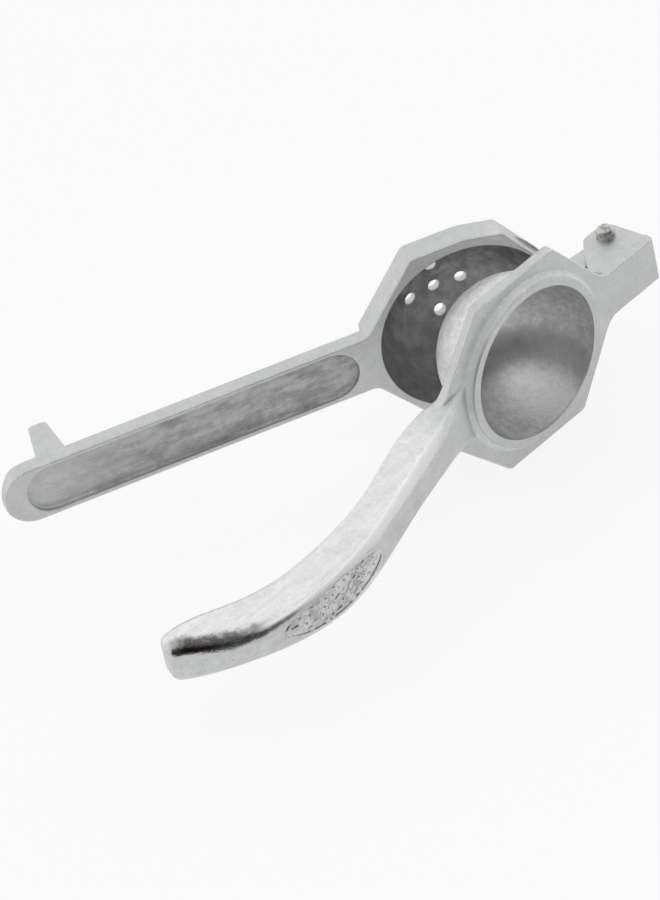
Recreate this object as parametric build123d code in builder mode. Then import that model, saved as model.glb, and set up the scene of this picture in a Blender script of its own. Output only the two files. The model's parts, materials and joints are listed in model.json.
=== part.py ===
"""Cast hand press for limes: a perforated cup lever and a punch lever on one steel hinge pin.

The press lies on its side. +X runs from the hinge along the cup lever's handle, +Y from the cup towards the
punch, and +Z is parallel to the hinge pin. The origin is on the cup flange's lower flat side, below the cup's axis.
"""
import os
from math import cos, radians, sin

from build123d import *

os.makedirs("parts", exist_ok=True)

# Hinge layout: the pin axis sits beside the cup, a little behind the face that meets the punch lever.
hinge_reach = 49.0
hinge_drop = 6.7
open_angle = 24.6
pin_radius = 2.9
pin_running_clearance = 0.06
pin_head_proud = 3.3
pin_head_round = 1.9
pin_tail_proud = 0.8
pin_tail_chamfer = 0.5

# Cup lever: six-sided flange round a half-round cup
cup_flat = 63.0
cup_flange = 7.8
cup_handle_corner = 13.6
cup_brow_out = 4.0
cup_brow_radius = 20.0
cup_hinge_corner = 16.0
cup_hinge_half = 28.5
cup_shoulder_out = 29.5
cup_shoulder_half = 9.5
cup_neck_out = 31.4
cup_corner_radius = 2.2
cup_neck_blend = 4.0
cup_neck_web = 3.1
cup_mouth_radius = 28.3
cup_depth = 23.8
cup_wall = 3.0
cup_edge_round = 0.6
drain_radius = 1.95
drain_spacing = 8.6
drain_ahead = 2.0
drain_dish_radius = 3.3
drain_dish_depth = 0.35

# Cup lever handle: straight bar with a crowned back and a long recess in its inner face
bar_length = 150.0
bar_half_width = 9.7
bar_edge = 5.5
bar_crown = 2.0
bar_end_round = 2.4
bar_nose = 15.0
bar_nose_tip = 2.4
recess_start = 35.8
recess_end_land = 7.4
recess_half_width = 8.2
recess_depth = 1.8
recess_round = 1.0
recess_edge_round = 0.4
foot_inset = 18.6
foot_root = 8.6
foot_tip = 5.8
foot_length = 13.4
foot_tip_round = 1.6

# Hinge tongue of the cup lever, held between the two lugs of the punch lever
tongue_half = 3.6
tongue_knuckle = 5.0
tongue_arm = 12.5
tongue_side_clearance = 0.35
tongue_end_clearance = 0.8

# Punch lever: thin six-sided plate, hollow punch and raised mouth rim
seat_gap = 3.2
punch_inset = 0.3
punch_plate = 3.2
punch_corner = 16.4
punch_handle_tip = 43.4
punch_hinge_tip = 39.5
punch_tail_half = 7.9
punch_tail_past = 0.4
punch_tail_blend = 12.0
punch_corner_radius = 2.5
punch_radius = 25.2
punch_wall = 2.6
punch_mouth_radius = 24.5
punch_rim = 2.5
punch_rim_land = 2.4
punch_rim_foot = 29.3
punch_rim_cove = 3.0
punch_edge_round = 0.6
ear_half = 7.8
ear_end = 6.7
ear_taper = 2.0
ear_lug = 4.7
ear_lug_out = 5.2
ear_lug_round = 4.3
ear_flank_round = 3.2
ear_waist = 8.7
ear_front = 16.7
ear_blend = 6.5

# Punch lever handle: bowed grip. Each station has its step from the one before it, its rise from the middle of
# the plate, its width along the pin, its thickness and the radii of its front and back corners
root_out = 21.0
root_rise = -0.1
root_width = 26.2
root_thick = 2.8
root_front = 1.0
root_back = 1.0
throat_step = 9.0
throat_rise = 0.4
throat_width = 19.6
throat_thick = 4.4
throat_front = 1.6
throat_back = 1.3
neck_step = 12.0
neck_rise = 1.8
neck_width = 16.3
neck_thick = 10.8
neck_front = 3.4
neck_back = 1.3
knee_step = 25.0
knee_rise = 9.4
knee_width = 13.7
knee_thick = 13.1
knee_front = 4.4
knee_back = 1.5
bow_step = 38.0
bow_rise = 18.2
bow_width = 15.1
bow_thick = 14.5
bow_front = 1.8
bow_back = 1.5
bend_step = 21.0
bend_rise = 15.6
bend_width = 12.5
bend_thick = 17.0
bend_front = 3.2
bend_back = 2.6
palm_step = 14.0
palm_rise = 9.5
palm_width = 12.9
palm_thick = 17.3
palm_front = 5.2
palm_back = 3.6
thumb_step = 9.0
thumb_rise = 4.7
thumb_width = 15.0
thumb_thick = 12.8
thumb_front = 5.2
thumb_back = 3.6
tip_step = 6.4
tip_rise = 1.8
tip_width = 12.6
tip_thick = 9.0
tip_front = 4.2
tip_back = 3.6
tip_end_round = 3.0

# Places that follow from the sizes above
mid_z = cup_flat / 2
punch_half = cup_flat / 2 - punch_inset
cup_face_y = cup_flange / 2
hinge_y = cup_face_y - hinge_drop
recess_end = bar_length - recess_end_land
foot_out = bar_length - foot_inset
hinge_point = Vector(-hinge_reach, hinge_y, mid_z)
plate_back = hinge_drop + seat_gap
plate_front = plate_back + punch_plate
plate_mid = plate_back + punch_plate / 2
slot_half = tongue_half + tongue_side_clearance
slot_front = tongue_knuckle + tongue_end_clearance
cup_sphere = (cup_mouth_radius**2 + cup_depth**2) / (2 * cup_depth)
cup_centre_y = cup_face_y + cup_sphere - cup_depth
along = Vector(cos(radians(open_angle)), sin(radians(open_angle)), 0)
across = Vector(-sin(radians(open_angle)), cos(radians(open_angle)), 0)
upright = Vector(0, 0, 1)

# Working planes: faces look from the punch side, plans look down the hinge pin
cup_face = Plane(origin=(0, cup_face_y, mid_z), x_dir=(1, 0, 0), z_dir=(0, -1, 0))
cup_plan = Plane(origin=(0, 0, mid_z), x_dir=(1, 0, 0), z_dir=(0, 0, 1))
bar_section = Plane(origin=(0, cup_face_y, mid_z), x_dir=(0, 0, 1), z_dir=(1, 0, 0))
tongue_plan = Plane(origin=hinge_point, x_dir=(1, 0, 0), z_dir=(0, 0, 1))
punch_plan = Plane(origin=hinge_point, x_dir=along, z_dir=upright)
punch_face = Plane(origin=hinge_point + across * plate_front, x_dir=along, z_dir=across * -1)
punch_axis = Axis(hinge_point + along * hinge_reach, across)
cup_axis = Axis((0, 0, mid_z), (0, 1, 0))


with BuildPart() as cup_lever:
    # Handle bar: one section drawn along X, then trimmed to the round-ended outline
    with BuildSketch(bar_section):
        with BuildLine():
            Polyline(
                (-bar_half_width, bar_edge),
                (-bar_half_width, 0),
                (bar_half_width, 0),
                (bar_half_width, bar_edge),
            )
            ThreePointArc(
                (bar_half_width, bar_edge),
                (0, bar_edge + bar_crown),
                (-bar_half_width, bar_edge),
            )
        make_face()
    extrude(amount=bar_length)
    with BuildSketch(cup_face):
        with BuildLine():
            Line((cup_mouth_radius, -bar_half_width), (cup_mouth_radius, bar_half_width))
            Line((cup_mouth_radius, bar_half_width), (bar_length - bar_half_width, bar_half_width))
            ThreePointArc(
                (bar_length - bar_half_width, bar_half_width),
                (bar_length, 0),
                (bar_length - bar_half_width, -bar_half_width),
            )
            Line((bar_length - bar_half_width, -bar_half_width), (cup_mouth_radius, -bar_half_width))
        make_face()
    extrude(amount=bar_edge + bar_crown, mode=Mode.INTERSECT)
    bar_end = cup_lever.faces().filter_by(GeomType.CYLINDER).sort_by(Axis.X)[-1]
    fillet(bar_end.edges().group_by(Axis.Y)[0], bar_end_round)
    # The back of the bar curves forward to a thin nose
    with BuildSketch(cup_plan):
        with BuildLine():
            bar_back = cup_face_y - bar_edge - bar_crown
            Polyline(
                (bar_length - bar_nose, bar_back),
                (0, bar_back),
                (0, cup_face_y),
                (bar_length, cup_face_y),
                (bar_length, cup_face_y - bar_nose_tip),
            )
            TangentArc((bar_length - bar_nose, bar_back), (bar_length, cup_face_y - bar_nose_tip), tangent=(1, 0))
        make_face()
    extrude(amount=bar_half_width, both=True, mode=Mode.INTERSECT)
    # Foot on the back of the bar, as wide as the bar and drawn in towards its tip
    with BuildSketch(cup_plan) as foot_sketch:
        foot_base = cup_face_y - bar_edge / 2
        foot_end = cup_face_y - bar_edge - foot_length
        with BuildLine():
            Polyline(
                (foot_out - foot_root / 2, foot_base),
                (foot_out - foot_tip / 2, foot_end),
                (foot_out + foot_tip / 2, foot_end),
                (foot_out + foot_root / 2, foot_base),
                close=True,
            )
        make_face()
        fillet(foot_sketch.vertices().group_by(Axis.Y)[0], foot_tip_round)
    extrude(amount=bar_half_width, both=True)
    # Six-sided flange with a short neck towards the handle
    with BuildSketch(cup_face) as flange_sketch:
        with BuildLine():
            Polyline(
                (cup_neck_out, bar_half_width),
                (cup_handle_corner, cup_flat / 2),
                (-cup_brow_out, cup_flat / 2),
                (-cup_hinge_corner, cup_hinge_half),
                (-cup_shoulder_out, cup_shoulder_half),
                (-cup_shoulder_out, -cup_shoulder_half),
                (-cup_hinge_corner, -cup_hinge_half),
                (-cup_brow_out, -cup_flat / 2),
                (cup_handle_corner, -cup_flat / 2),
                (cup_neck_out, -bar_half_width),
                close=True,
            )
        make_face()
        corners = flange_sketch.vertices().sort_by(Axis.X)
        fillet(corners[2:4] + corners[6:8], cup_corner_radius)
        brows = flange_sketch.vertices().filter_by_position(Axis.X, -cup_brow_out - 0.1, -cup_brow_out + 0.1)
        fillet(brows, cup_brow_radius)
    extrude(amount=cup_flange)
    # Webs that round off the two inner corners between the flange and the bar
    neck_inner = cup_neck_out - 2 * cup_neck_blend
    neck_slope = (cup_flat / 2 - bar_half_width) / (cup_neck_out - cup_handle_corner)
    web_half = bar_half_width + neck_slope * (cup_neck_out - neck_inner)
    with BuildSketch(cup_face) as neck_sketch:
        with BuildLine():
            Polyline(
                (cup_neck_out + 2 * cup_neck_blend, bar_half_width),
                (cup_neck_out, bar_half_width),
                (neck_inner, web_half),
                (neck_inner, -web_half),
                (cup_neck_out, -bar_half_width),
                (cup_neck_out + 2 * cup_neck_blend, -bar_half_width),
                close=True,
            )
        make_face()
        fillet(neck_sketch.vertices().sort_by(Axis.X)[2:4], cup_neck_blend)
    extrude(amount=cup_neck_web)
    # Cup wall outside, as a ball cut off at the inner face
    with BuildSketch(cup_plan):
        with BuildLine():
            wall_top = (cup_sphere + cup_wall) ** 2 - (cup_centre_y - cup_face_y + cup_flange / 2) ** 2
            Line((0, cup_face_y - cup_flange / 2), (wall_top**0.5, cup_face_y - cup_flange / 2))
            RadiusArc(
                (wall_top**0.5, cup_face_y - cup_flange / 2),
                (0, cup_centre_y - cup_sphere - cup_wall),
                cup_sphere + cup_wall,
            )
            Line((0, cup_centre_y - cup_sphere - cup_wall), (0, cup_face_y - cup_flange / 2))
        make_face()
    revolve(axis=cup_axis)
    # Hinge tongue: a knuckle round the pin and a tapering arm back to the flange
    with BuildSketch(tongue_plan):
        Circle(tongue_knuckle)
        with BuildLine():
            Polyline(
                (0, tongue_knuckle),
                (hinge_reach - cup_shoulder_out + cup_wall, tongue_knuckle),
                (hinge_reach - cup_shoulder_out + cup_wall, hinge_drop - cup_flange),
                (tongue_arm, hinge_drop - cup_flange),
                (0, -tongue_knuckle),
                close=True,
            )
        make_face()
    extrude(amount=tongue_half, both=True)
    # Bowl of the cup
    with BuildSketch(cup_plan):
        with BuildLine():
            Line((0, cup_face_y), (cup_mouth_radius, cup_face_y))
            RadiusArc((cup_mouth_radius, cup_face_y), (0, cup_face_y - cup_depth), cup_sphere)
            Line((0, cup_face_y - cup_depth), (0, cup_face_y))
        make_face()
    revolve(axis=cup_axis, mode=Mode.SUBTRACT)
    # Drain holes: one in the middle and four round it, each in a shallow dish, all a little towards the handle
    dish_ball = (drain_dish_radius**2 + drain_dish_depth**2) / (2 * drain_dish_depth)
    dish_reach = cup_sphere + drain_dish_depth - dish_ball
    with BuildSketch(cup_face):
        with Locations((drain_ahead, 0)):
            Circle(drain_radius)
            with PolarLocations(drain_spacing, 4):
                Circle(drain_radius)
    extrude(amount=cup_depth + 2 * cup_wall, mode=Mode.SUBTRACT)
    for out, up in ((0, 0), (drain_spacing, 0), (-drain_spacing, 0), (0, drain_spacing), (0, -drain_spacing)):
        hole_x = drain_ahead + out
        hole_depth = (cup_sphere**2 - hole_x**2 - up**2) ** 0.5
        ray = Vector(hole_x, -hole_depth, up) * (dish_reach / cup_sphere)
        with Locations(Vector(0, cup_centre_y, mid_z) + ray):
            Sphere(dish_ball, mode=Mode.SUBTRACT)
    # Long recess in the inner face of the bar
    with BuildSketch(cup_face):
        with Locations(((recess_start + recess_end) / 2, 0)):
            SlotOverall(recess_end - recess_start, 2 * recess_half_width)
    extrude(amount=recess_depth, mode=Mode.SUBTRACT)
    floor_y = cup_face_y - recess_depth
    recess_floor = cup_lever.faces().filter_by(Axis.Y).filter_by_position(Axis.Y, floor_y - 0.01, floor_y + 0.01)
    fillet(recess_floor.sort_by(SortBy.AREA)[-1].edges(), recess_round)
    inner_face = cup_lever.faces().filter_by(Axis.Y).group_by(Axis.Y)[-1].sort_by(SortBy.AREA)[-1]
    fillet(inner_face.outer_wire().edges(), cup_edge_round)
    inner_face = cup_lever.faces().filter_by(Axis.Y).group_by(Axis.Y)[-1].sort_by(SortBy.AREA)[-1]
    recess_rim = inner_face.inner_wires().sort_by(Axis.X)[-1]
    fillet(recess_rim.edges(), recess_edge_round)
    # Bore for the pin through the tongue
    with BuildSketch(tongue_plan):
        Circle(pin_radius + pin_running_clearance)
    extrude(amount=tongue_half, both=True, mode=Mode.SUBTRACT)
cup_lever.part.label = "cup_lever"
export_step(cup_lever.part, "parts/cup_lever.step")


with BuildPart() as punch_lever:
    # Six-sided plate with the ear's front
    with BuildSketch(punch_face) as plate_sketch:
        with BuildLine():
            Polyline(
                (hinge_reach + punch_handle_tip, 0),
                (hinge_reach + punch_corner, punch_half),
                (hinge_reach - punch_corner, punch_half),
                (hinge_reach - punch_hinge_tip, 0),
                (hinge_reach - punch_corner, -punch_half),
                (hinge_reach + punch_corner, -punch_half),
                close=True,
            )
        make_face()
        flats = plate_sketch.vertices().group_by(Axis.Y)
        fillet(flats[0] + flats[-1], punch_corner_radius)
        with BuildLine():
            Polyline(
                (hinge_reach, punch_tail_half),
                (hinge_reach, -punch_tail_half),
                (hinge_reach + punch_handle_tip + punch_tail_past, -punch_tail_half),
                (hinge_reach + punch_handle_tip + punch_tail_past, punch_tail_half),
                close=True,
            )
        make_face()
        fillet(plate_sketch.vertices().sort_by(Axis.X)[-4:-2], punch_tail_blend)
        with BuildLine():
            Polyline(
                (-ear_end, -ear_half),
                (-ear_end, ear_half),
                (hinge_reach - punch_corner, ear_half),
                (hinge_reach - punch_corner, -ear_half),
                close=True,
            )
        make_face()
        waist = plate_sketch.vertices().sort_by(Axis.X)[2:4]
        fillet(waist, ear_blend)
    extrude(amount=punch_plate)
    # Ear: a block round the pin, drawn in behind the plate
    with BuildSketch(punch_plan) as ear_sketch:
        with BuildLine():
            Polyline(
                (-ear_end, plate_front),
                (-ear_end + ear_taper, -ear_lug),
                (ear_lug_out, -ear_lug),
                (ear_waist, hinge_drop - cup_flange),
                (ear_front, plate_front),
                close=True,
            )
        make_face()
        back_corners = ear_sketch.vertices().group_by(Axis.Y)[0].sort_by(Axis.X)
        fillet(back_corners[0], ear_lug_round)
        fillet(ear_sketch.vertices().group_by(Axis.Y)[0].sort_by(Axis.X)[-1], ear_flank_round)
    extrude(amount=ear_half, both=True)
    front_face = punch_lever.faces().filter_by(punch_axis).sort_by(punch_axis)[-1]
    fillet(front_face.outer_wire().edges(), punch_edge_round)
    # Bowed grip: rounded sections along a centre line from the plate to the tip
    steps = (
        (root_out, root_rise, root_width, root_thick, root_front, root_back),
        (throat_step, throat_rise, throat_width, throat_thick, throat_front, throat_back),
        (neck_step, neck_rise, neck_width, neck_thick, neck_front, neck_back),
        (knee_step, knee_rise, knee_width, knee_thick, knee_front, knee_back),
        (bow_step, bow_rise, bow_width, bow_thick, bow_front, bow_back),
        (bend_step, bend_rise, bend_width, bend_thick, bend_front, bend_back),
        (palm_step, palm_rise, palm_width, palm_thick, palm_front, palm_back),
        (thumb_step, thumb_rise, thumb_width, thumb_thick, thumb_front, thumb_back),
        (tip_step, tip_rise, tip_width, tip_thick, tip_front, tip_back),
    )
    reach = hinge_reach
    stations = []
    for step, rise, width, thick, front, back in steps:
        reach = reach + step
        stations.append((reach, plate_mid + rise, width, thick, front, back))
    with BuildLine(punch_plan) as grip_line:
        Spline(*[(out, height) for out, height, _, _, _, _ in stations])
    grip_curve = grip_line.edge()
    for out, height, width, thick, front, back in stations:
        point = hinge_point + along * out + across * height
        heading = grip_curve % grip_curve.param_at_point(point)
        with BuildSketch(Plane(origin=point, x_dir=upright * -1, z_dir=heading)) as section:
            Rectangle(width, thick)
            fillet(section.vertices().group_by(Axis.Y)[-1], front)
            fillet(section.vertices().group_by(Axis.Y)[0], back)
    loft()
    tip_face = punch_lever.faces().sort_by_distance(grip_curve @ 1)[0]
    fillet(tip_face.edges(), tip_end_round)
    # Punch outside
    punch_centre = plate_back - punch_wall / 2
    with BuildSketch(punch_plan):
        with BuildLine():
            Polyline(
                (hinge_reach, punch_centre - punch_radius),
                (hinge_reach, plate_front),
                (hinge_reach + punch_radius, plate_front),
                (hinge_reach + punch_radius, punch_centre),
            )
            RadiusArc(
                (hinge_reach + punch_radius, punch_centre),
                (hinge_reach, punch_centre - punch_radius),
                punch_radius,
            )
        make_face()
    revolve(axis=punch_axis)
    # Raised rim round the mouth, with a hollow curve down to the plate
    with BuildSketch(punch_plan):
        with BuildLine():
            rim_land = punch_mouth_radius + punch_rim_land
            Polyline(
                (hinge_reach + punch_rim_foot, plate_front),
                (hinge_reach, plate_front),
                (hinge_reach, plate_front + punch_rim),
                (hinge_reach + rim_land, plate_front + punch_rim),
            )
            RadiusArc(
                (hinge_reach + rim_land, plate_front + punch_rim),
                (hinge_reach + punch_rim_foot, plate_front),
                -punch_rim_cove,
            )
        make_face()
    revolve(axis=punch_axis)
    # Hollow of the punch: half an egg, upright at its mouth and flat at its bottom
    with BuildSketch(punch_plan):
        with BuildLine():
            mouth_top = plate_front + punch_rim
            hollow_bottom = punch_centre - punch_radius + punch_wall
            pull = 0.5523
            Polyline(
                (hinge_reach, hollow_bottom),
                (hinge_reach, mouth_top),
                (hinge_reach + punch_mouth_radius, mouth_top),
            )
            Bezier(
                (hinge_reach + punch_mouth_radius, mouth_top),
                (hinge_reach + punch_mouth_radius, mouth_top - pull * (mouth_top - hollow_bottom)),
                (hinge_reach + pull * punch_mouth_radius, hollow_bottom),
                (hinge_reach, hollow_bottom),
            )
        make_face()
    revolve(axis=punch_axis, mode=Mode.SUBTRACT)
    # Slot for the tongue, open to the back and both ends of the ear
    with BuildSketch(punch_plan):
        with BuildLine():
            Polyline(
                (-2 * ear_end, slot_front),
                (ear_front, slot_front),
                (ear_front, -2 * ear_lug),
                (-2 * ear_end, -2 * ear_lug),
                close=True,
            )
        make_face()
    extrude(amount=slot_half, both=True, mode=Mode.SUBTRACT)
    # Pin holes through both lugs
    with BuildSketch(punch_plan):
        Circle(pin_radius)
    extrude(amount=ear_half, both=True, mode=Mode.SUBTRACT)
punch_lever.part.label = "punch_lever"
export_step(punch_lever.part, "parts/punch_lever.step")


with BuildPart() as hinge_pin:
    # Plain shank with a rounded head end and a broken edge at the tail
    head_end = ear_half + pin_head_proud
    tail_end = -ear_half - pin_tail_proud
    with BuildSketch(Plane(origin=hinge_point, x_dir=(1, 0, 0), z_dir=(0, -1, 0))):
        with BuildLine():
            Polyline(
                (pin_radius - pin_head_round, head_end),
                (0, head_end),
                (0, tail_end),
                (pin_radius - pin_tail_chamfer, tail_end),
                (pin_radius, tail_end + pin_tail_chamfer),
                (pin_radius, head_end - pin_head_round),
            )
            RadiusArc(
                (pin_radius, head_end - pin_head_round),
                (pin_radius - pin_head_round, head_end),
                -pin_head_round,
            )
        make_face()
    revolve(axis=Axis(hinge_point, upright))
hinge_pin.part.label = "hinge_pin"
export_step(hinge_pin.part, "parts/hinge_pin.step")
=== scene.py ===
import json
import math

import bmesh
import bpy
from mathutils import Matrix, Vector
from mathutils.bvhtree import BVHTree


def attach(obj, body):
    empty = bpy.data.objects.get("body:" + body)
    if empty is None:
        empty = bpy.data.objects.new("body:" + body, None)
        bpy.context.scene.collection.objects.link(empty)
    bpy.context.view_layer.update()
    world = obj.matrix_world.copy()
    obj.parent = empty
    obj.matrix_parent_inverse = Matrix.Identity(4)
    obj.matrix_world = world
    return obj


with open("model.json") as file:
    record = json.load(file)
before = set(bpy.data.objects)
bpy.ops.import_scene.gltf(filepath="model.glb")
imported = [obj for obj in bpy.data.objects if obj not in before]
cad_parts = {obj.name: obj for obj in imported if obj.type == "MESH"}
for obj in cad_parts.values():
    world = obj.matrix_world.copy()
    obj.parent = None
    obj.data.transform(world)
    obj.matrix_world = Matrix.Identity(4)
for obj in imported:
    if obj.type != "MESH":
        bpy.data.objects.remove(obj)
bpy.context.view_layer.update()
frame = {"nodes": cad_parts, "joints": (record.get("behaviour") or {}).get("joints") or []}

# Cup lever: one aluminium casting, tumbled after the mould so that its edges are rubbed pale, with a painted
# highlight on them too. The bowl and the long recess in the handle are out of the tumbling stones' reach and keep
# the darker skin of the mould, with painted light on the bowl's lower half.
# Sizes are in metres, and a pair of sizes is the span over which one finish fades into the next.
(hinge,) = frame["joints"]
HINGE = tuple(hinge["pos_m"])
MID_HEIGHT = HINGE[2]
CUP_CENTRE = (0.0, 0.008826, MID_HEIGHT)
CUP_BALL = 0.0297
CUP_BALL_EASE = 0.0003
CUP_LIP = 0.0037
CUP_LIP_EASE = 0.0008
CUP_LOW_HALF = (MID_HEIGHT + 0.0125, MID_HEIGHT - 0.0055)
CUP_LOW_SHARE = 0.40
CUP_FRONT = (0.0, 1.0, 0.0)
RECESS_HALF = 0.0085
RECESS_FROM = (0.0354, 0.0008, MID_HEIGHT - RECESS_HALF)
RECESS_TO = (0.1430, CUP_LIP, MID_HEIGHT + RECESS_HALF)
RECESS_EASE_FROM = 0.0006
RECESS_EASE_TO = (0.0008, 0.0009, 0.0006)
RECESS_FAR_END = (0.096, 0.143)
RECESS_FAR_SHARE = 0.70

TUMBLED = (0.63, 0.64, 0.635, 1.0)
MOULD_SKIN = (0.29, 0.293, 0.29, 1.0)
MOULD_SHEEN = (0.60, 0.605, 0.60, 1.0)
MOULD_PAINTED_LIGHT = (0.74, 0.75, 0.74, 1.0)
RECESS_SKIN = (0.36, 0.362, 0.365, 1.0)
RECESS_SHEEN = (0.58, 0.585, 0.58, 1.0)
RECESS_FAR_PALE = (0.66, 0.665, 0.66, 1.0)

CLOUDS = {"Scale": 110.0, "Detail": 4.0, "Roughness": 0.6}
MOTTLE = {"Scale": 420.0, "Detail": 4.0, "Roughness": 0.6}
GRAIN = {"Scale": 2000.0, "Detail": 2.0, "Roughness": 0.6}
SCUFFS = {"Scale": 150.0, "Detail": 6.0, "Roughness": 0.72, "Distortion": 1.8}
BLOTCHES = {"Scale": 230.0, "Detail": 6.0, "Roughness": 0.70}
RUNS = {"Scale": 330.0, "Detail": 5.0, "Roughness": 0.68}
RUNS_DRAWN = (0.30, 1.0, 1.0)
SCUFF_SPAN = (0.54, 0.68)
BLOTCH_SPAN = (0.34, 0.66)
RECESS_SPAN = (0.38, 0.60)
RECESS_MARKS = {"runs": 0.6, "blotches": 0.4}
PIT_SCALE = 520.0
PIT_SPAN = (0.16, 0.08)
PIT_PATCHES = (0.56, 0.66)

CAST_ROUGH = 0.44
CAST_RELIEF = 0.00011
BASE_SHADE = 0.57
SHADE = {"clouds": 0.20, "mottle": 0.32, "grain": 0.32, "scuffs": 0.10, "pits": -0.25, "rubbed": 0.12}
ROUGHER = {"mottle": 0.24, "rubbed": -0.10}
RELIEF = {"clouds": 0.80, "mottle": 0.55, "grain": 0.16, "pits": -0.50}
UNRUBBED_ROUGH = 0.10
WORN_RADIUS = 0.0005
WORN_TURN = (0.995, 0.90)
ARRIS_TURN = (0.26, 0.44)
ARRIS_PALE_AND_HIGHLIGHT = 0.48
ARRIS_ROUGH = 0.42


def wire(tree, kind, settings=None, **sockets):
    """Adds one node; a socket given as another node's output is linked, anything else is set.
    A socket goes by its name, with _ for a space, or by its number, as in i0."""
    made = tree.nodes.new(kind)
    for key, value in (settings or {}).items():
        setattr(made, key, value)
    for key, value in sockets.items():
        numbered = key[0] == "i" and key[1:].isdigit()
        socket = made.inputs[int(key[1:]) if numbered else key.replace("_", " ")]
        if isinstance(value, bpy.types.NodeSocket):
            tree.links.new(value, socket)
        else:
            socket.default_value = value
    return made


def sums(tree, operation, a, b=0.0, c=0.0, clamp=False):
    """One Math node and its output."""
    made = wire(tree, "ShaderNodeMath", {"operation": operation, "use_clamp": clamp}, i0=a, i1=b, i2=c)
    return made.outputs[0]


def between(tree, operation, a, b):
    """One Vector Math node that gives a number."""
    return wire(tree, "ShaderNodeVectorMath", {"operation": operation}, i0=a, i1=b).outputs["Value"]


def noise(tree, place, look):
    """A noise pattern, from its scale and detail."""
    return wire(tree, "ShaderNodeTexNoise", Vector=place, **look).outputs[0]


def span(tree, value, ends, to=(0.0, 1.0)):
    """Maps a value from one span to another, eased at both ends."""
    made = wire(
        tree,
        "ShaderNodeMapRange",
        {"interpolation_type": "SMOOTHSTEP"},
        Value=value,
        From_Min=ends[0],
        From_Max=ends[1],
        To_Min=to[0],
        To_Max=to[1],
    )
    return made.outputs[0]


def tint(tree, share, a, b):
    """Mixes two colours, or two colour sockets."""
    made = wire(tree, "ShaderNodeMix", {"data_type": "RGBA"}, i0=share, i6=a, i7=b)
    return made.outputs[2]


def within(tree, first, *others):
    """Share that lies in every one of several zones."""
    for other in others:
        first = sums(tree, "MULTIPLY", first, other)
    return first


def outside(tree, zone):
    """Share that lies out of a zone."""
    return sums(tree, "SUBTRACT", 1.0, zone)


def weigh(tree, base, marks, weights):
    """Adds named marks to a base value, each by its own weight."""
    for name, weight in weights.items():
        base = sums(tree, "MULTIPLY_ADD", marks[name], weight, base)
    return base


def sway(tree, base, pattern, width):
    """Moves a base value up and down by a pattern, width from end to end."""
    return sums(tree, "MULTIPLY_ADD", sums(tree, "SUBTRACT", pattern, 0.5), width, base)


def casting(name, roughness):
    """Skin of a tumbled casting: soft clouds, mottling, grain, scuffs, a few pits, and sharp corners rubbed bright.
    Returns the material and the sockets that each piece's own zones are mixed into."""
    material = bpy.data.materials.new(name)
    material.use_nodes = True
    tree = material.node_tree
    place = wire(tree, "ShaderNodeTexCoord").outputs["Object"]
    worn = wire(tree, "ShaderNodeBevel", {"samples": 6}, Radius=WORN_RADIUS).outputs[0]
    flat = wire(tree, "ShaderNodeNewGeometry").outputs["Normal"]
    cells = wire(tree, "ShaderNodeTexVoronoi", {"feature": "F1"}, Vector=place, Scale=PIT_SCALE).outputs["Distance"]
    marks = {
        "clouds": noise(tree, place, CLOUDS),
        "mottle": noise(tree, place, MOTTLE),
        "grain": noise(tree, place, GRAIN),
        "scuffs": span(tree, noise(tree, place, SCUFFS), SCUFF_SPAN),
        "rubbed": span(tree, between(tree, "DOT_PRODUCT", worn, flat), WORN_TURN),
    }
    marks["pits"] = within(tree, span(tree, cells, PIT_SPAN), span(tree, marks["mottle"], PIT_PATCHES))
    return {
        "material": material,
        "tree": tree,
        "place": place,
        "clouds": marks["clouds"],
        "worn": worn,
        "shade": weigh(tree, BASE_SHADE, marks, SHADE),
        "rough": weigh(tree, roughness - ROUGHER["mottle"] / 2, marks, ROUGHER),
        "height": weigh(tree, 0.0, marks, RELIEF),
    }


def arris(skin, front):
    """Share of a rounded edge: highest where the surface is half turned away from the way that a face looks."""
    tree = skin["tree"]
    own = wire(tree, "ShaderNodeTexCoord").outputs["Normal"]
    facing = between(tree, "DOT_PRODUCT", own, front)
    away = sums(tree, "SQRT", sums(tree, "SUBTRACT", 1.0, sums(tree, "MULTIPLY", facing, facing), clamp=True))
    return span(tree, sums(tree, "MULTIPLY", facing, away), ARRIS_TURN)


def rub_and_paint_highlight(skin, edges):
    """Makes the rounded edges pale and matt, partly as the tumbling stones leave them and partly as a painted
    highlight.
    """
    skin["shade"] = sums(skin["tree"], "MULTIPLY_ADD", edges, ARRIS_PALE_AND_HIGHLIGHT, skin["shade"])
    skin["rough"] = sums(skin["tree"], "MULTIPLY_ADD", edges, ARRIS_ROUGH, skin["rough"])


def finish_skin(skin, colour):
    """Joins a casting's colour, roughness and relief to its shader."""
    tree = skin["tree"]
    grey = wire(tree, "ShaderNodeCombineColor", Red=skin["shade"], Green=skin["shade"], Blue=skin["shade"]).outputs[0]
    multiply = {"data_type": "RGBA", "blend_type": "MULTIPLY", "clamp_result": True}
    lit = wire(tree, "ShaderNodeMix", multiply, i0=1.0, i6=colour, i7=grey).outputs[2]
    relief = wire(tree, "ShaderNodeBump", Distance=CAST_RELIEF, Height=skin["height"], Normal=skin["worn"]).outputs[0]
    shader = tree.nodes["Principled BSDF"].inputs
    shader["Metallic"].default_value = 1.0
    tree.links.new(lit, shader["Base Color"])
    tree.links.new(skin["rough"], shader["Roughness"])
    tree.links.new(relief, shader["Normal"])
    return skin["material"]


def dress(node, material):
    """Gives a CAD node its finish."""
    held = frame["nodes"][node].data.materials
    held.clear()
    held.append(material)


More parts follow.
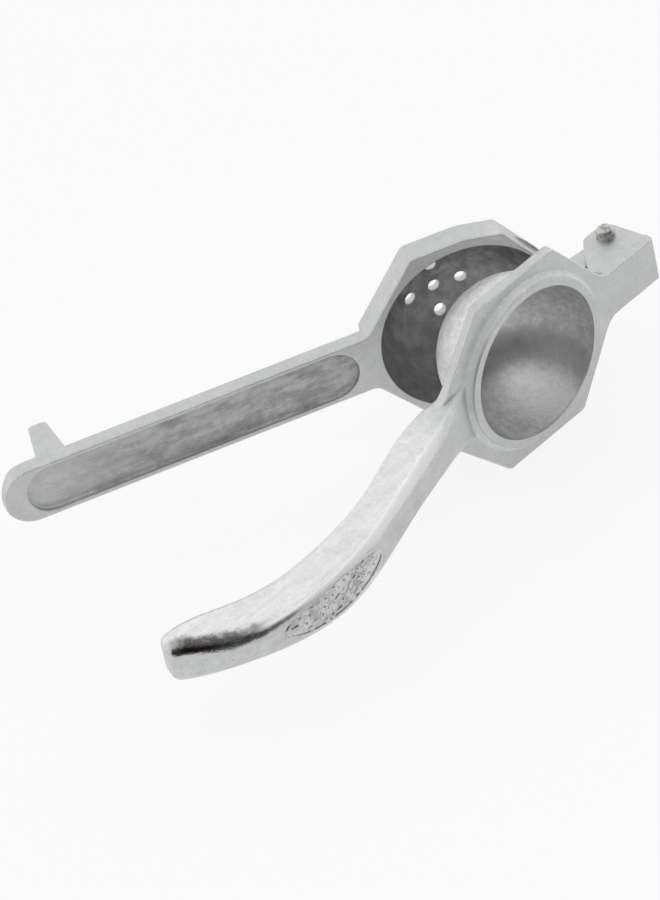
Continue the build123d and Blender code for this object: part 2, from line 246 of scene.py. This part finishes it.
cup_skin = casting("cup_casting", CAST_ROUGH)
tree, place = cup_skin["tree"], cup_skin["place"]
axes = wire(tree, "ShaderNodeSeparateXYZ", Vector=place).outputs
in_bowl = within(
    tree,
    span(tree, between(tree, "DISTANCE", place, CUP_CENTRE), (CUP_BALL, CUP_BALL - CUP_BALL_EASE)),
    span(tree, axes[1], (CUP_LIP, CUP_LIP - CUP_LIP_EASE)),
)
in_recess = 1.0
for axis, low, high, ease in zip(axes, RECESS_FROM, RECESS_TO, RECESS_EASE_TO):
    past_low = span(tree, axis, (low, low + RECESS_EASE_FROM))
    short_of_high = span(tree, axis, (high, high - ease))
    in_recess = within(tree, in_recess, past_low, short_of_high)

blotches = noise(tree, place, BLOTCHES)
drawn = wire(tree, "ShaderNodeMapping", Vector=place, Scale=RUNS_DRAWN).outputs[0]
runs = noise(tree, drawn, RUNS)
bowl_tone = tint(tree, span(tree, blotches, BLOTCH_SPAN), MOULD_SKIN, MOULD_SHEEN)
# Painted light: the lower half of the bowl is mixed towards a paler tone.
bowl_tone = tint(tree, span(tree, axes[2], CUP_LOW_HALF, (0.0, CUP_LOW_SHARE)), bowl_tone, MOULD_PAINTED_LIGHT)
recess_marks = weigh(tree, 0.0, {"runs": runs, "blotches": blotches}, RECESS_MARKS)
recess_tone = tint(tree, span(tree, recess_marks, RECESS_SPAN), RECESS_SKIN, RECESS_SHEEN)
# The recess is paler towards its far end.
recess_tone = tint(tree, span(tree, axes[0], RECESS_FAR_END, (0.0, RECESS_FAR_SHARE)), recess_tone, RECESS_FAR_PALE)
cup_colour = tint(tree, in_recess, tint(tree, in_bowl, TUMBLED, bowl_tone), recess_tone)
unrubbed = sums(tree, "MAXIMUM", in_bowl, in_recess)
cup_skin["rough"] = sums(tree, "MULTIPLY_ADD", unrubbed, UNRUBBED_ROUGH, cup_skin["rough"])
rub_and_paint_highlight(cup_skin, within(tree, arris(cup_skin, CUP_FRONT), outside(tree, in_bowl)))
dress("cup_lever", finish_skin(cup_skin, cup_colour))

# Punch lever: the second casting. Plate, rim and ear have the same tumbled skin. The bowed grip is buffed along its
# length, paler on its top and underside than along the middle of its front, partly buffing and partly painted shade,
# and a dark painted reflection lies beside its tip. The hollow of the punch keeps the skin left by the core, with a
# belt of painted shade across it and painted light on its low side. Reaches are from the hinge: along the grip, out
# from the plate, and up.
OPEN_ANGLE = math.radians(-hinge["range_deg"][0])
GRIP = (0.080, 0.104)
GRIP_TIP = (0.176, 0.190)
GRIP_SIDES = (0.0034, 0.0062)
GRIP_RIDGE_END = (0.176, 0.164)
HOLLOW_MIDDLE = 0.0490
HOLLOW_MOUTH = 0.0156
HOLLOW_MOUTH_EASE = (0.0001, 0.0009)
HOLLOW_RADIUS = 0.0245
HOLLOW_DEPTH = 0.0296
HOLLOW_WALL = (1.03, 1.02)
BALL_MIDDLE = 0.0086
BALL_SKIN = (0.0262, 0.0258)
BALL_ROOT = (0.0098, 0.0092)
BALL_SHARE = 0.80
BELT_LEAN = 0.19
BELT_WAVER = 0.006
BELT_TOP = (-0.0055, -0.0105)
BELT_FOOT = (-0.0185, -0.0150)
BELT_SHARE = 0.80
LOW_SIDE = (-0.0155, -0.0195)
LOW_SIDE_REACH = (0.057, 0.044)
LOW_SIDE_SHARE = (0.15, 0.95)
# A painted reflection: the dark streak beside the grip's tip.
PAINTED_REFLECTION_TURN = math.radians(-34.07)
PAINTED_REFLECTION_MIDDLE = 0.143
PAINTED_REFLECTION_EDGE = 0.1297
PAINTED_REFLECTION_BULGE = 8.5
PAINTED_REFLECTION_WAVER = 0.0075
PAINTED_REFLECTION_DEPTH = (-0.0036, 0.0004)
PAINTED_REFLECTION_TOP = (0.0037, 0.0047)
PAINTED_REFLECTION_START = (0.1295, 0.1380)
PAINTED_REFLECTION_END = (0.1630, 0.1560)

BUFFED_AND_LIT = (0.81, 0.815, 0.81, 1.0)
PAINTED_REFLECTION_TONE = (0.088, 0.083, 0.080, 1.0)
# The core's belt tone is painted shade; its palest tone is painted light on the hollow's low side and also the ball's
# outside.
CORE_SKIN = (0.72, 0.72, 0.72, 1.0)
CORE_SHEEN = (0.90, 0.90, 0.90, 1.0)
CORE_PAINTED_SHADE = (0.54, 0.54, 0.55, 1.0)
CORE_PALE_AND_PAINTED_LIGHT = (1.0, 0.995, 0.99, 1.0)

SPECKLE = {"Scale": 520.0, "Detail": 5.0, "Roughness": 0.72}
SPECKLE_SPAN = (0.36, 0.66)
RAGGED = {"Scale": 260.0, "Detail": 6.0, "Roughness": 0.75}
BUFFING = {"Scale": 380.0, "Detail": 4.0, "Roughness": 0.62}
BUFFING_DRAWN = (0.10, 1.0, 1.0)
BUFFING_SHADE = 0.36
PUNCH_ROUGHER = {"grip": -0.08, "tip": -0.12, "hollow": 0.06, "ball": 0.30}
TIP_RELIEF = 2.0

grip_way = Vector((math.cos(OPEN_ANGLE), math.sin(OPEN_ANGLE), 0.0))
grip_front = Vector((-math.sin(OPEN_ANGLE), math.cos(OPEN_ANGLE), 0.0))
punch_skin = casting("punch_casting", CAST_ROUGH)
tree = punch_skin["tree"]
along = wire(
    tree,
    "ShaderNodeMapping",
    {"vector_type": "TEXTURE"},
    Vector=punch_skin["place"],
    Location=HINGE,
    Rotation=(0.0, 0.0, OPEN_ANGLE),
).outputs[0]
reach = wire(tree, "ShaderNodeSeparateXYZ", Vector=along).outputs

# Zones: the hollow, the outside of the ball, the grip and its tip
egg = wire(
    tree,
    "ShaderNodeVectorMath",
    {"operation": "MULTIPLY_ADD"},
    i0=along,
    i1=(1 / HOLLOW_RADIUS, 1 / HOLLOW_DEPTH, 1 / HOLLOW_RADIUS),
    i2=(-HOLLOW_MIDDLE / HOLLOW_RADIUS, -HOLLOW_MOUTH / HOLLOW_DEPTH, 0.0),
).outputs[0]
below_mouth = tuple(HOLLOW_MOUTH - ease for ease in HOLLOW_MOUTH_EASE)
in_hollow = within(
    tree,
    span(tree, between(tree, "DISTANCE", egg, (0.0, 0.0, 0.0)), HOLLOW_WALL),
    span(tree, reach[1], below_mouth),
)
on_ball = within(
    tree,
    span(tree, between(tree, "DISTANCE", along, (HOLLOW_MIDDLE, BALL_MIDDLE, 0.0)), BALL_SKIN),
    span(tree, reach[1], BALL_ROOT),
    outside(tree, in_hollow),
)
core_skin = sums(tree, "MAXIMUM", in_hollow, on_ball)
on_grip = span(tree, reach[0], GRIP)
near_tip = span(tree, reach[0], GRIP_TIP)
on_sides_buffed_and_lit = within(tree, span(tree, sums(tree, "ABSOLUTE", reach[2]), GRIP_SIDES), on_grip)

# Skin of the core: speckled, a belt of painted shade leaning across the hollow, painted light on the low side
speckle = span(tree, noise(tree, punch_skin["place"], SPECKLE), SPECKLE_SPAN)
belt_height = sums(tree, "MULTIPLY_ADD", reach[1], BELT_LEAN, reach[2])
belt_height = sway(tree, belt_height, punch_skin["clouds"], BELT_WAVER)
on_painted_shade_belt = within(tree, span(tree, belt_height, BELT_TOP), span(tree, belt_height, BELT_FOOT), in_hollow, BELT_SHARE)
painted_light_low_side = within(
    tree, span(tree, belt_height, LOW_SIDE), span(tree, reach[0], LOW_SIDE_REACH, LOW_SIDE_SHARE), in_hollow
)
core_tone = tint(tree, speckle, CORE_SKIN, CORE_SHEEN)
core_tone = tint(tree, on_painted_shade_belt, core_tone, CORE_PAINTED_SHADE)
pale_and_painted_light_tone = tint(tree, speckle, CORE_SHEEN, CORE_PALE_AND_PAINTED_LIGHT)
core_tone = tint(tree, sums(tree, "MAXIMUM", painted_light_low_side, within(tree, on_ball, BALL_SHARE)), core_tone, pale_and_painted_light_tone)

# Painted reflection: a dark streak that follows the bent front edge near the tip, ragged on the side away from it
edge_way = wire(
    tree, "ShaderNodeMapping", {"vector_type": "TEXTURE"}, Vector=along, Rotation=(0.0, 0.0, PAINTED_REFLECTION_TURN)
).outputs[0]
edge = wire(tree, "ShaderNodeSeparateXYZ", Vector=edge_way).outputs
bulge = sums(tree, "POWER", sums(tree, "SUBTRACT", edge[0], PAINTED_REFLECTION_MIDDLE), 2.0)
painted_reflection_depth = sums(tree, "MULTIPLY_ADD", bulge, PAINTED_REFLECTION_BULGE, sums(tree, "SUBTRACT", edge[1], PAINTED_REFLECTION_EDGE))
painted_reflection_depth = sway(tree, painted_reflection_depth, noise(tree, edge_way, RAGGED), PAINTED_REFLECTION_WAVER)
painted_reflection = within(
    tree,
    span(tree, painted_reflection_depth, PAINTED_REFLECTION_DEPTH),
    span(tree, reach[2], PAINTED_REFLECTION_TOP),
    span(tree, edge[0], PAINTED_REFLECTION_START),
    span(tree, edge[0], PAINTED_REFLECTION_END),
)

combed = wire(tree, "ShaderNodeMapping", Vector=along, Scale=BUFFING_DRAWN).outputs[0]
buffing = within(tree, sums(tree, "SUBTRACT", noise(tree, combed, BUFFING), 0.5), on_grip)
punch_skin["shade"] = sums(tree, "MULTIPLY_ADD", buffing, BUFFING_SHADE, punch_skin["shade"])
# The grip's top and underside take the paler buffed tone and the middle of its front the darker tumbled one: partly a
# buffed finish, partly painted shade on the front.
punch_colour = tint(tree, core_skin, tint(tree, on_sides_buffed_and_lit, TUMBLED, BUFFED_AND_LIT), core_tone)
punch_colour = tint(tree, painted_reflection, punch_colour, PAINTED_REFLECTION_TONE)
zones = {"grip": on_grip, "tip": near_tip, "hollow": in_hollow, "ball": on_ball}
punch_skin["rough"] = weigh(tree, punch_skin["rough"], zones, PUNCH_ROUGHER)
tip_relief = sums(tree, "MULTIPLY_ADD", near_tip, TIP_RELIEF, 1.0)
punch_skin["height"] = sums(tree, "MULTIPLY", punch_skin["height"], tip_relief)
on_plate = outside(tree, sums(tree, "MAXIMUM", core_skin, on_grip))
# Rounded edges of the plate, rim and ear, and the grip's ridge: pale and matt from wear, with a painted highlight.
plate_edges = within(tree, arris(punch_skin, tuple(grip_front)), on_plate)
ridge = within(tree, arris(punch_skin, (0.0, 0.0, 1.0)), on_grip, span(tree, reach[0], GRIP_RIDGE_END))
rub_and_paint_highlight(punch_skin, sums(tree, "MAXIMUM", plate_edges, ridge))
dress("punch_lever", finish_skin(punch_skin, punch_colour))

# Gussets beside the hinge ear: the same casting, drawn out in plan from the lugs to the back of the plate, one above
# and one below the slot for the tongue. Their outline is given from the hinge, along the grip and out from it.
GUSSET_LINE = (
    (0.0080, -0.0016),
    (0.0092, -0.0009),
    (0.0127, 0.0035),
    (0.0153, 0.0069),
    (0.0172, 0.0094),
    (0.0174, 0.0104),
)
GUSSET_ROOT = ((0.0150, 0.0114), (0.0126, 0.0084), (0.0104, 0.0046), (0.0076, 0.0006))
GUSSET_LOW = 0.00405
GUSSET_TOP = 0.00779

gusset = bmesh.new()
for side in (1, -1):
    walls = []
    for height in (GUSSET_LOW, GUSSET_TOP):
        ring = []
        for out, front in GUSSET_LINE + GUSSET_ROOT:
            spot = Vector(HINGE) + grip_way * out + grip_front * front
            spot.z += side * height
            ring.append(gusset.verts.new(spot))
        walls.append(ring)
    low, top = walls
    count = len(low)
    gusset.faces.new(low)
    gusset.faces.new(top)
    for k in range(count):
        n = (k + 1) % count
        gusset.faces.new([low[k], low[n], top[n], top[k]])
bmesh.ops.recalc_face_normals(gusset, faces=gusset.faces)
gusset_mesh = bpy.data.meshes.new("ear_gussets")
gusset.to_mesh(gusset_mesh)
gusset.free()
ear_gussets = bpy.data.objects.new("ear_gussets", gusset_mesh)
bpy.context.scene.collection.objects.link(ear_gussets)
gusset_mesh.materials.append(punch_skin["material"])
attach(ear_gussets, "punch")

# Oval field on the front of the grip: part of the same casting, a shallow pad inside a thin raised rim, with a
# bare pebbled ground so that a wet hand holds. It is laid on the grip's own surface.
FIELD_MIDDLE = 0.1565
FIELD_LENGTH = 0.0440
FIELD_WIDTH = 0.0118
FIELD_UP = 0.0004
FIELD_RISE = 0.00012
FIELD_TUCK = 0.00012
FIELD_ROOT = 0.0006
FIELD_ROUND = 120
GROUND_RINGS = 10
GROUND_STEP = 0.08
GROUND_SHARE = 0.85
RIM_INNER_SHARE = 0.86
RIM_SHARE = 0.93
RIM_RADIUS = 0.00030
CLEAR_OF_GRIP = 0.08
PEBBLE_GAP = 0.0023
PEBBLE_SIZE = 0.00130
PEBBLE_LEAST = (0.45, 0.35, 0.12)
PEBBLE_MOST = (1.45, 0.85, 0.34)
PEBBLE_DENSITY = 4.0e6
PEBBLE_SEED = 11

FIELD_ROUGH = 0.36
FIELD_SMOOTHER = 0.08
FIELD_SKIN = (0.46, 0.465, 0.46, 1.0)
FIELD_SHEEN = (0.72, 0.725, 0.72, 1.0)
FIELD_SPAN = (0.40, 0.60)

lever = frame["nodes"]["punch_lever"].data
lever_skin = BVHTree.FromPolygons([v.co.copy() for v in lever.vertices], [tuple(p.vertices) for p in lever.polygons])
shares = [GROUND_STEP * k for k in range(GROUND_RINGS + 1)] + [RIM_INNER_SHARE, RIM_SHARE, 1.0]


def on_lever(share, angle):
    """Point and outward direction on the grip under a place in the oval."""
    out = FIELD_MIDDLE + FIELD_LENGTH / 2 * share * math.cos(angle)
    start = Vector(HINGE) + grip_front * CLEAR_OF_GRIP + grip_way * out
    start.z += FIELD_UP + FIELD_WIDTH / 2 * share * math.sin(angle)
    spot, away, _, _ = lever_skin.ray_cast(start, -grip_front)
    return spot, away


pad = bmesh.new()
ground = pad.verts.layers.float.new("ground")
rim_layer = pad.edges.layers.float.new("rim")
tops, roots = [], []
for share in shares:
    count = FIELD_ROUND if share else 1
    top_ring, root_ring = [], []
    for k in range(count):
        spot, away = on_lever(share, math.tau * k / count)
        top = pad.verts.new(spot + away * (FIELD_RISE if share < 1.0 else -FIELD_TUCK))
        top[ground] = 1.0 if share < GROUND_SHARE else 0.0
        top_ring.append(top)
        root_ring.append(pad.verts.new(spot - away * FIELD_ROOT))
    tops.append(top_ring)
    roots.append(root_ring)
for rings, flip in ((tops, False), (roots, True)):
    for inner, outer in zip(rings, rings[1:]):
        for k in range(FIELD_ROUND):
            n = (k + 1) % FIELD_ROUND
            face = [inner[0], outer[k], outer[n]] if len(inner) == 1 else [inner[k], outer[k], outer[n], inner[n]]
            pad.faces.new(face[::-1] if flip else face)
for k in range(FIELD_ROUND):
    n = (k + 1) % FIELD_ROUND
    pad.faces.new([tops[-1][k], roots[-1][k], roots[-1][n], tops[-1][n]])
    pad.edges.get((tops[-2][k], tops[-2][n]))[rim_layer] = 1.0
bmesh.ops.recalc_face_normals(pad, faces=pad.faces)
pad_mesh = bpy.data.meshes.new("grip_field")
pad.to_mesh(pad_mesh)
pad.free()
pad_mesh.shade_smooth()
grip_field = bpy.data.objects.new("grip_field", pad_mesh)
bpy.context.scene.collection.objects.link(grip_field)

field_skin = casting("grip_field", FIELD_ROUGH)
tree = field_skin["tree"]
raised = wire(tree, "ShaderNodeAttribute", {"attribute_name": "raised"}).outputs["Fac"]
ground_tone = tint(tree, span(tree, field_skin["clouds"], FIELD_SPAN), FIELD_SKIN, FIELD_SHEEN)
field_skin["rough"] = sums(tree, "MULTIPLY_ADD", raised, -FIELD_SMOOTHER, field_skin["rough"])
field_finish = finish_skin(field_skin, tint(tree, raised, ground_tone, TUMBLED))

# Pebbles are strewn on the ground, a bead runs round the rim, and both join the pad
pebbling = bpy.data.node_groups.new("pebbled_field", "GeometryNodeTree")
sockets = {}
for label, kind in (
    ("Geometry", "NodeSocketGeometry"),
    ("Pebble Gap", "NodeSocketFloat"),
    ("Pebble Size", "NodeSocketFloat"),
    ("Rim Radius", "NodeSocketFloat"),
    ("Seed", "NodeSocketInt"),
    ("Finish", "NodeSocketMaterial"),
):
    sockets[label] = pebbling.interface.new_socket(label, in_out="INPUT", socket_type=kind)
pebbling.interface.new_socket("Geometry", in_out="OUTPUT", socket_type="NodeSocketGeometry")
given = pebbling.nodes.new("NodeGroupInput").outputs
on_ground = wire(pebbling, "GeometryNodeInputNamedAttribute", {"data_type": "FLOAT"}, Name="ground").outputs[0]
on_rim = wire(pebbling, "GeometryNodeInputNamedAttribute", {"data_type": "FLOAT"}, Name="rim").outputs[0]
all_ground = wire(pebbling, "FunctionNodeCompare", {"operation": "GREATER_THAN"}, i0=on_ground, i1=0.9).outputs[0]
all_rim = wire(pebbling, "FunctionNodeCompare", {"operation": "GREATER_THAN"}, i0=on_rim, i1=0.5).outputs[0]
spots = wire(
    pebbling,
    "GeometryNodeDistributePointsOnFaces",
    {"distribute_method": "POISSON"},
    Mesh=given["Geometry"],
    Selection=all_ground,
    Distance_Min=given["Pebble Gap"],
    Density_Max=PEBBLE_DENSITY,
    Seed=given["Seed"],
).outputs
stone = wire(pebbling, "GeometryNodeMeshUVSphere", Segments=10, Rings=6, Radius=1.0).outputs["Mesh"]
spread = wire(
    pebbling,
    "FunctionNodeRandomValue",
    {"data_type": "FLOAT_VECTOR"},
    i0=PEBBLE_LEAST,
    i1=PEBBLE_MOST,
    Seed=given["Seed"],
).outputs[0]
sized = wire(pebbling, "ShaderNodeVectorMath", {"operation": "SCALE"}, i0=spread, Scale=given["Pebble Size"]).outputs[0]
turned = wire(
    pebbling, "FunctionNodeRandomValue", {"data_type": "FLOAT"}, i2=0.0, i3=math.tau, Seed=given["Seed"]
).outputs[1]
about = wire(pebbling, "ShaderNodeCombineXYZ", Z=turned).outputs[0]
laid = wire(
    pebbling, "FunctionNodeRotateRotation", {"rotation_space": "LOCAL"}, i0=spots["Rotation"], i1=about
).outputs[0]
stones = wire(
    pebbling,
    "GeometryNodeInstanceOnPoints",
    Points=spots["Points"],
    Instance=stone,
    Rotation=laid,
    Scale=sized,
).outputs[0]
rim_line = wire(pebbling, "GeometryNodeMeshToCurve", Mesh=given["Geometry"], Selection=all_rim).outputs[0]
rim_round = wire(pebbling, "GeometryNodeCurvePrimitiveCircle", Resolution=10, Radius=given["Rim Radius"]).outputs[0]
rim_bead = wire(pebbling, "GeometryNodeCurveToMesh", Curve=rim_line, Profile_Curve=rim_round).outputs[0]
proud = pebbling.nodes.new("GeometryNodeJoinGeometry")
pebbling.links.new(stones, proud.inputs[0])
pebbling.links.new(rim_bead, proud.inputs[0])
loose = wire(pebbling, "GeometryNodeRealizeInstances", Geometry=proud.outputs[0]).outputs[0]
smooth = wire(pebbling, "GeometryNodeSetShadeSmooth", Geometry=loose, Shade_Smooth=True).outputs[0]
marked = wire(
    pebbling,
    "GeometryNodeStoreNamedAttribute",
    {"data_type": "FLOAT", "domain": "POINT"},
    Geometry=smooth,
    Name="raised",
    Value=1.0,
).outputs[0]
whole = pebbling.nodes.new("GeometryNodeJoinGeometry")
pebbling.links.new(given["Geometry"], whole.inputs[0])
pebbling.links.new(marked, whole.inputs[0])
real = wire(pebbling, "GeometryNodeRealizeInstances", Geometry=whole.outputs[0]).outputs[0]
done = wire(pebbling, "GeometryNodeSetMaterial", Geometry=real, Material=given["Finish"]).outputs[0]
pebbling.links.new(done, pebbling.nodes.new("NodeGroupOutput").inputs[0])

laying = grip_field.modifiers.new("pebbled_field", "NODES")
laying.node_group = pebbling
for label, value in (
    ("Pebble Gap", PEBBLE_GAP),
    ("Pebble Size", PEBBLE_SIZE),
    ("Rim Radius", RIM_RADIUS),
    ("Seed", PEBBLE_SEED),
    ("Finish", field_finish),
):
    laying[sockets[label].identifier] = value
seen_now = bpy.context.evaluated_depsgraph_get()
cast_field = bpy.data.meshes.new_from_object(grip_field.evaluated_get(seen_now), depsgraph=seen_now)
grip_field.modifiers.remove(laying)
grip_field.data = cast_field
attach(grip_field, "punch")

# Hinge pin: a length of plain steel rod with a rounded end, pressed into the ear. It is darker and smoother than
# the castings, with a little grease in its turning marks.
PIN_STEEL = (0.60, 0.60, 0.575, 1.0)
PIN_GREASE = (0.30, 0.30, 0.285, 1.0)
PIN_ROUGH = 0.14
PIN_GREASE_ROUGH = 0.25
PIN_RELIEF = 0.00002
TURNING = {"Scale": 900.0, "Distortion": 1.2, "Detail": 2.0}
GREASE = {"Scale": 600.0, "Detail": 4.0}
GREASE_SPAN = (0.45, 0.70)

pin_steel = bpy.data.materials.new("pin_steel")
pin_steel.use_nodes = True
tree = pin_steel.node_tree
place = wire(tree, "ShaderNodeTexCoord").outputs["Object"]
turning = wire(tree, "ShaderNodeTexWave", {"bands_direction": "Z"}, Vector=place, **TURNING).outputs[1]
grease = noise(tree, place, GREASE)
pin_tone = tint(tree, span(tree, grease, GREASE_SPAN), PIN_STEEL, PIN_GREASE)
pin_rough = sums(tree, "MULTIPLY_ADD", grease, PIN_GREASE_ROUGH, PIN_ROUGH)
pin_relief = wire(tree, "ShaderNodeBump", Distance=PIN_RELIEF, Height=turning).outputs[0]
shader = tree.nodes["Principled BSDF"].inputs
shader["Metallic"].default_value = 1.0
tree.links.new(pin_tone, shader["Base Color"])
tree.links.new(pin_rough, shader["Roughness"])
tree.links.new(pin_relief, shader["Normal"])
dress("hinge_pin", pin_steel)

# Studio: a pale paper floor that keeps a faint shadow, a white room that is dark only on the camera's side, and one
# broad soft lamp overhead. The floor lies a hair below the press, so that no face of the press is level with it.
FLOOR_SIZE = 6.0
FLOOR_GAP = 0.0001
FLOOR_PAPER = (0.90, 0.90, 0.90, 1.0)
FLOOR_GLOW = (1.0, 1.0, 1.0, 1.0)
GLOW_SEEN = 0.86
GLOW_MIRRORED = 0.55
ROOM_WHITE = (0.80, 0.805, 0.81, 1.0)
ROOM_BACK = (0.94, 0.945, 0.945, 1.0)
ROOM_SIDES = (1.04, 1.04, 1.04, 1.0)
ROOM_DARK = (0.06, 0.06, 0.063, 1.0)
BACK_SPAN = (-0.1, -0.6)
SIDE_SPAN = (0.25, 0.75)
DARK_SPAN = (0.05, 0.40)
DARK_TOP = (0.82, 0.66)
LAMP_LENGTH = 1.8
LAMP_WIDTH = 1.1
LAMP_WATTS = 1.9
LAMP_PLACE = (0.08, 0.62, 1.25)
LAMP_AIM = (0.0, 0.02, 0.03)

floor_mesh = bpy.data.meshes.new("floor")
half = FLOOR_SIZE / 2
corners = [(x * half, y * half, -FLOOR_GAP) for x, y in ((-1, -1), (1, -1), (1, 1), (-1, 1))]
floor_mesh.from_pydata(corners, [], [(0, 1, 2, 3)])
floor = bpy.data.objects.new("floor", floor_mesh)
bpy.context.scene.collection.objects.link(floor)
paper = bpy.data.materials.new("floor_paper")
paper.use_nodes = True
tree = paper.node_tree
tree.nodes.remove(tree.nodes["Principled BSDF"])
seen = wire(tree, "ShaderNodeLightPath").outputs
matt = wire(tree, "ShaderNodeBsdfDiffuse", Color=FLOOR_PAPER).outputs[0]
glow = wire(tree, "ShaderNodeEmission", Color=FLOOR_GLOW, Strength=1.0).outputs[0]
mirrored = sums(tree, "MAXIMUM", seen["Is Glossy Ray"], seen["Is Transmission Ray"])
glowing = sums(
    tree,
    "MAXIMUM",
    sums(tree, "MULTIPLY", seen["Is Camera Ray"], GLOW_SEEN),
    sums(tree, "MULTIPLY", mirrored, GLOW_MIRRORED),
)
floor_look = wire(tree, "ShaderNodeMixShader", i0=glowing, i1=matt, i2=glow).outputs[0]
tree.links.new(floor_look, tree.nodes["Material Output"].inputs["Surface"])
floor_mesh.materials.append(paper)

room = bpy.data.worlds.new("room")
bpy.context.scene.world = room
room.use_nodes = True
tree = room.node_tree
way = wire(tree, "ShaderNodeTexCoord").outputs["Generated"]
heading = wire(tree, "ShaderNodeSeparateXYZ", Vector=way).outputs
dark_side = within(tree, span(tree, heading[1], DARK_SPAN), span(tree, heading[2], DARK_TOP))
room_tone = tint(tree, span(tree, heading[1], BACK_SPAN), ROOM_WHITE, ROOM_BACK)
room_tone = tint(tree, span(tree, sums(tree, "ABSOLUTE", heading[0]), SIDE_SPAN), room_tone, ROOM_SIDES)
room_tone = tint(tree, dark_side, room_tone, ROOM_DARK)
backdrop = tree.nodes["Background"].inputs
backdrop["Strength"].default_value = 1.0
tree.links.new(room_tone, backdrop["Color"])

soft_lamp = bpy.data.lights.new("overhead_softbox", "AREA")
soft_lamp.shape = "RECTANGLE"
soft_lamp.size = LAMP_LENGTH
soft_lamp.size_y = LAMP_WIDTH
soft_lamp.energy = LAMP_WATTS
overhead = bpy.data.objects.new("overhead_softbox", soft_lamp)
overhead.location = LAMP_PLACE
overhead.rotation_euler = (Vector(LAMP_AIM) - overhead.location).to_track_quat("-Z", "Y").to_euler()
bpy.context.scene.collection.objects.link(overhead)

# Camera: a long lens that looks down on the open side of the press, as in the photograph. Its place, turn and lens
# come from a fit to the photograph's outlines, edges and holes.
LENS_MM = 257.92
SENSOR_MM = 36.0
CAMERA_PLACE = (0.37778, 1.46361, 1.23640)
CAMERA_TURN = (49.7948, 10.2756, 158.7847)
CLIP_NEAR = 0.05
CLIP_FAR = 20.0

lens = bpy.data.cameras.new("camera")
lens.lens = LENS_MM
lens.sensor_width = SENSOR_MM
lens.clip_start = CLIP_NEAR
lens.clip_end = CLIP_FAR
camera = bpy.data.objects.new("camera", lens)
camera.location = CAMERA_PLACE
camera.rotation_euler = tuple(math.radians(angle) for angle in CAMERA_TURN)
bpy.context.scene.collection.objects.link(camera)
bpy.context.scene.camera = camera
bpy.context.scene.view_settings.view_transform = "Standard"
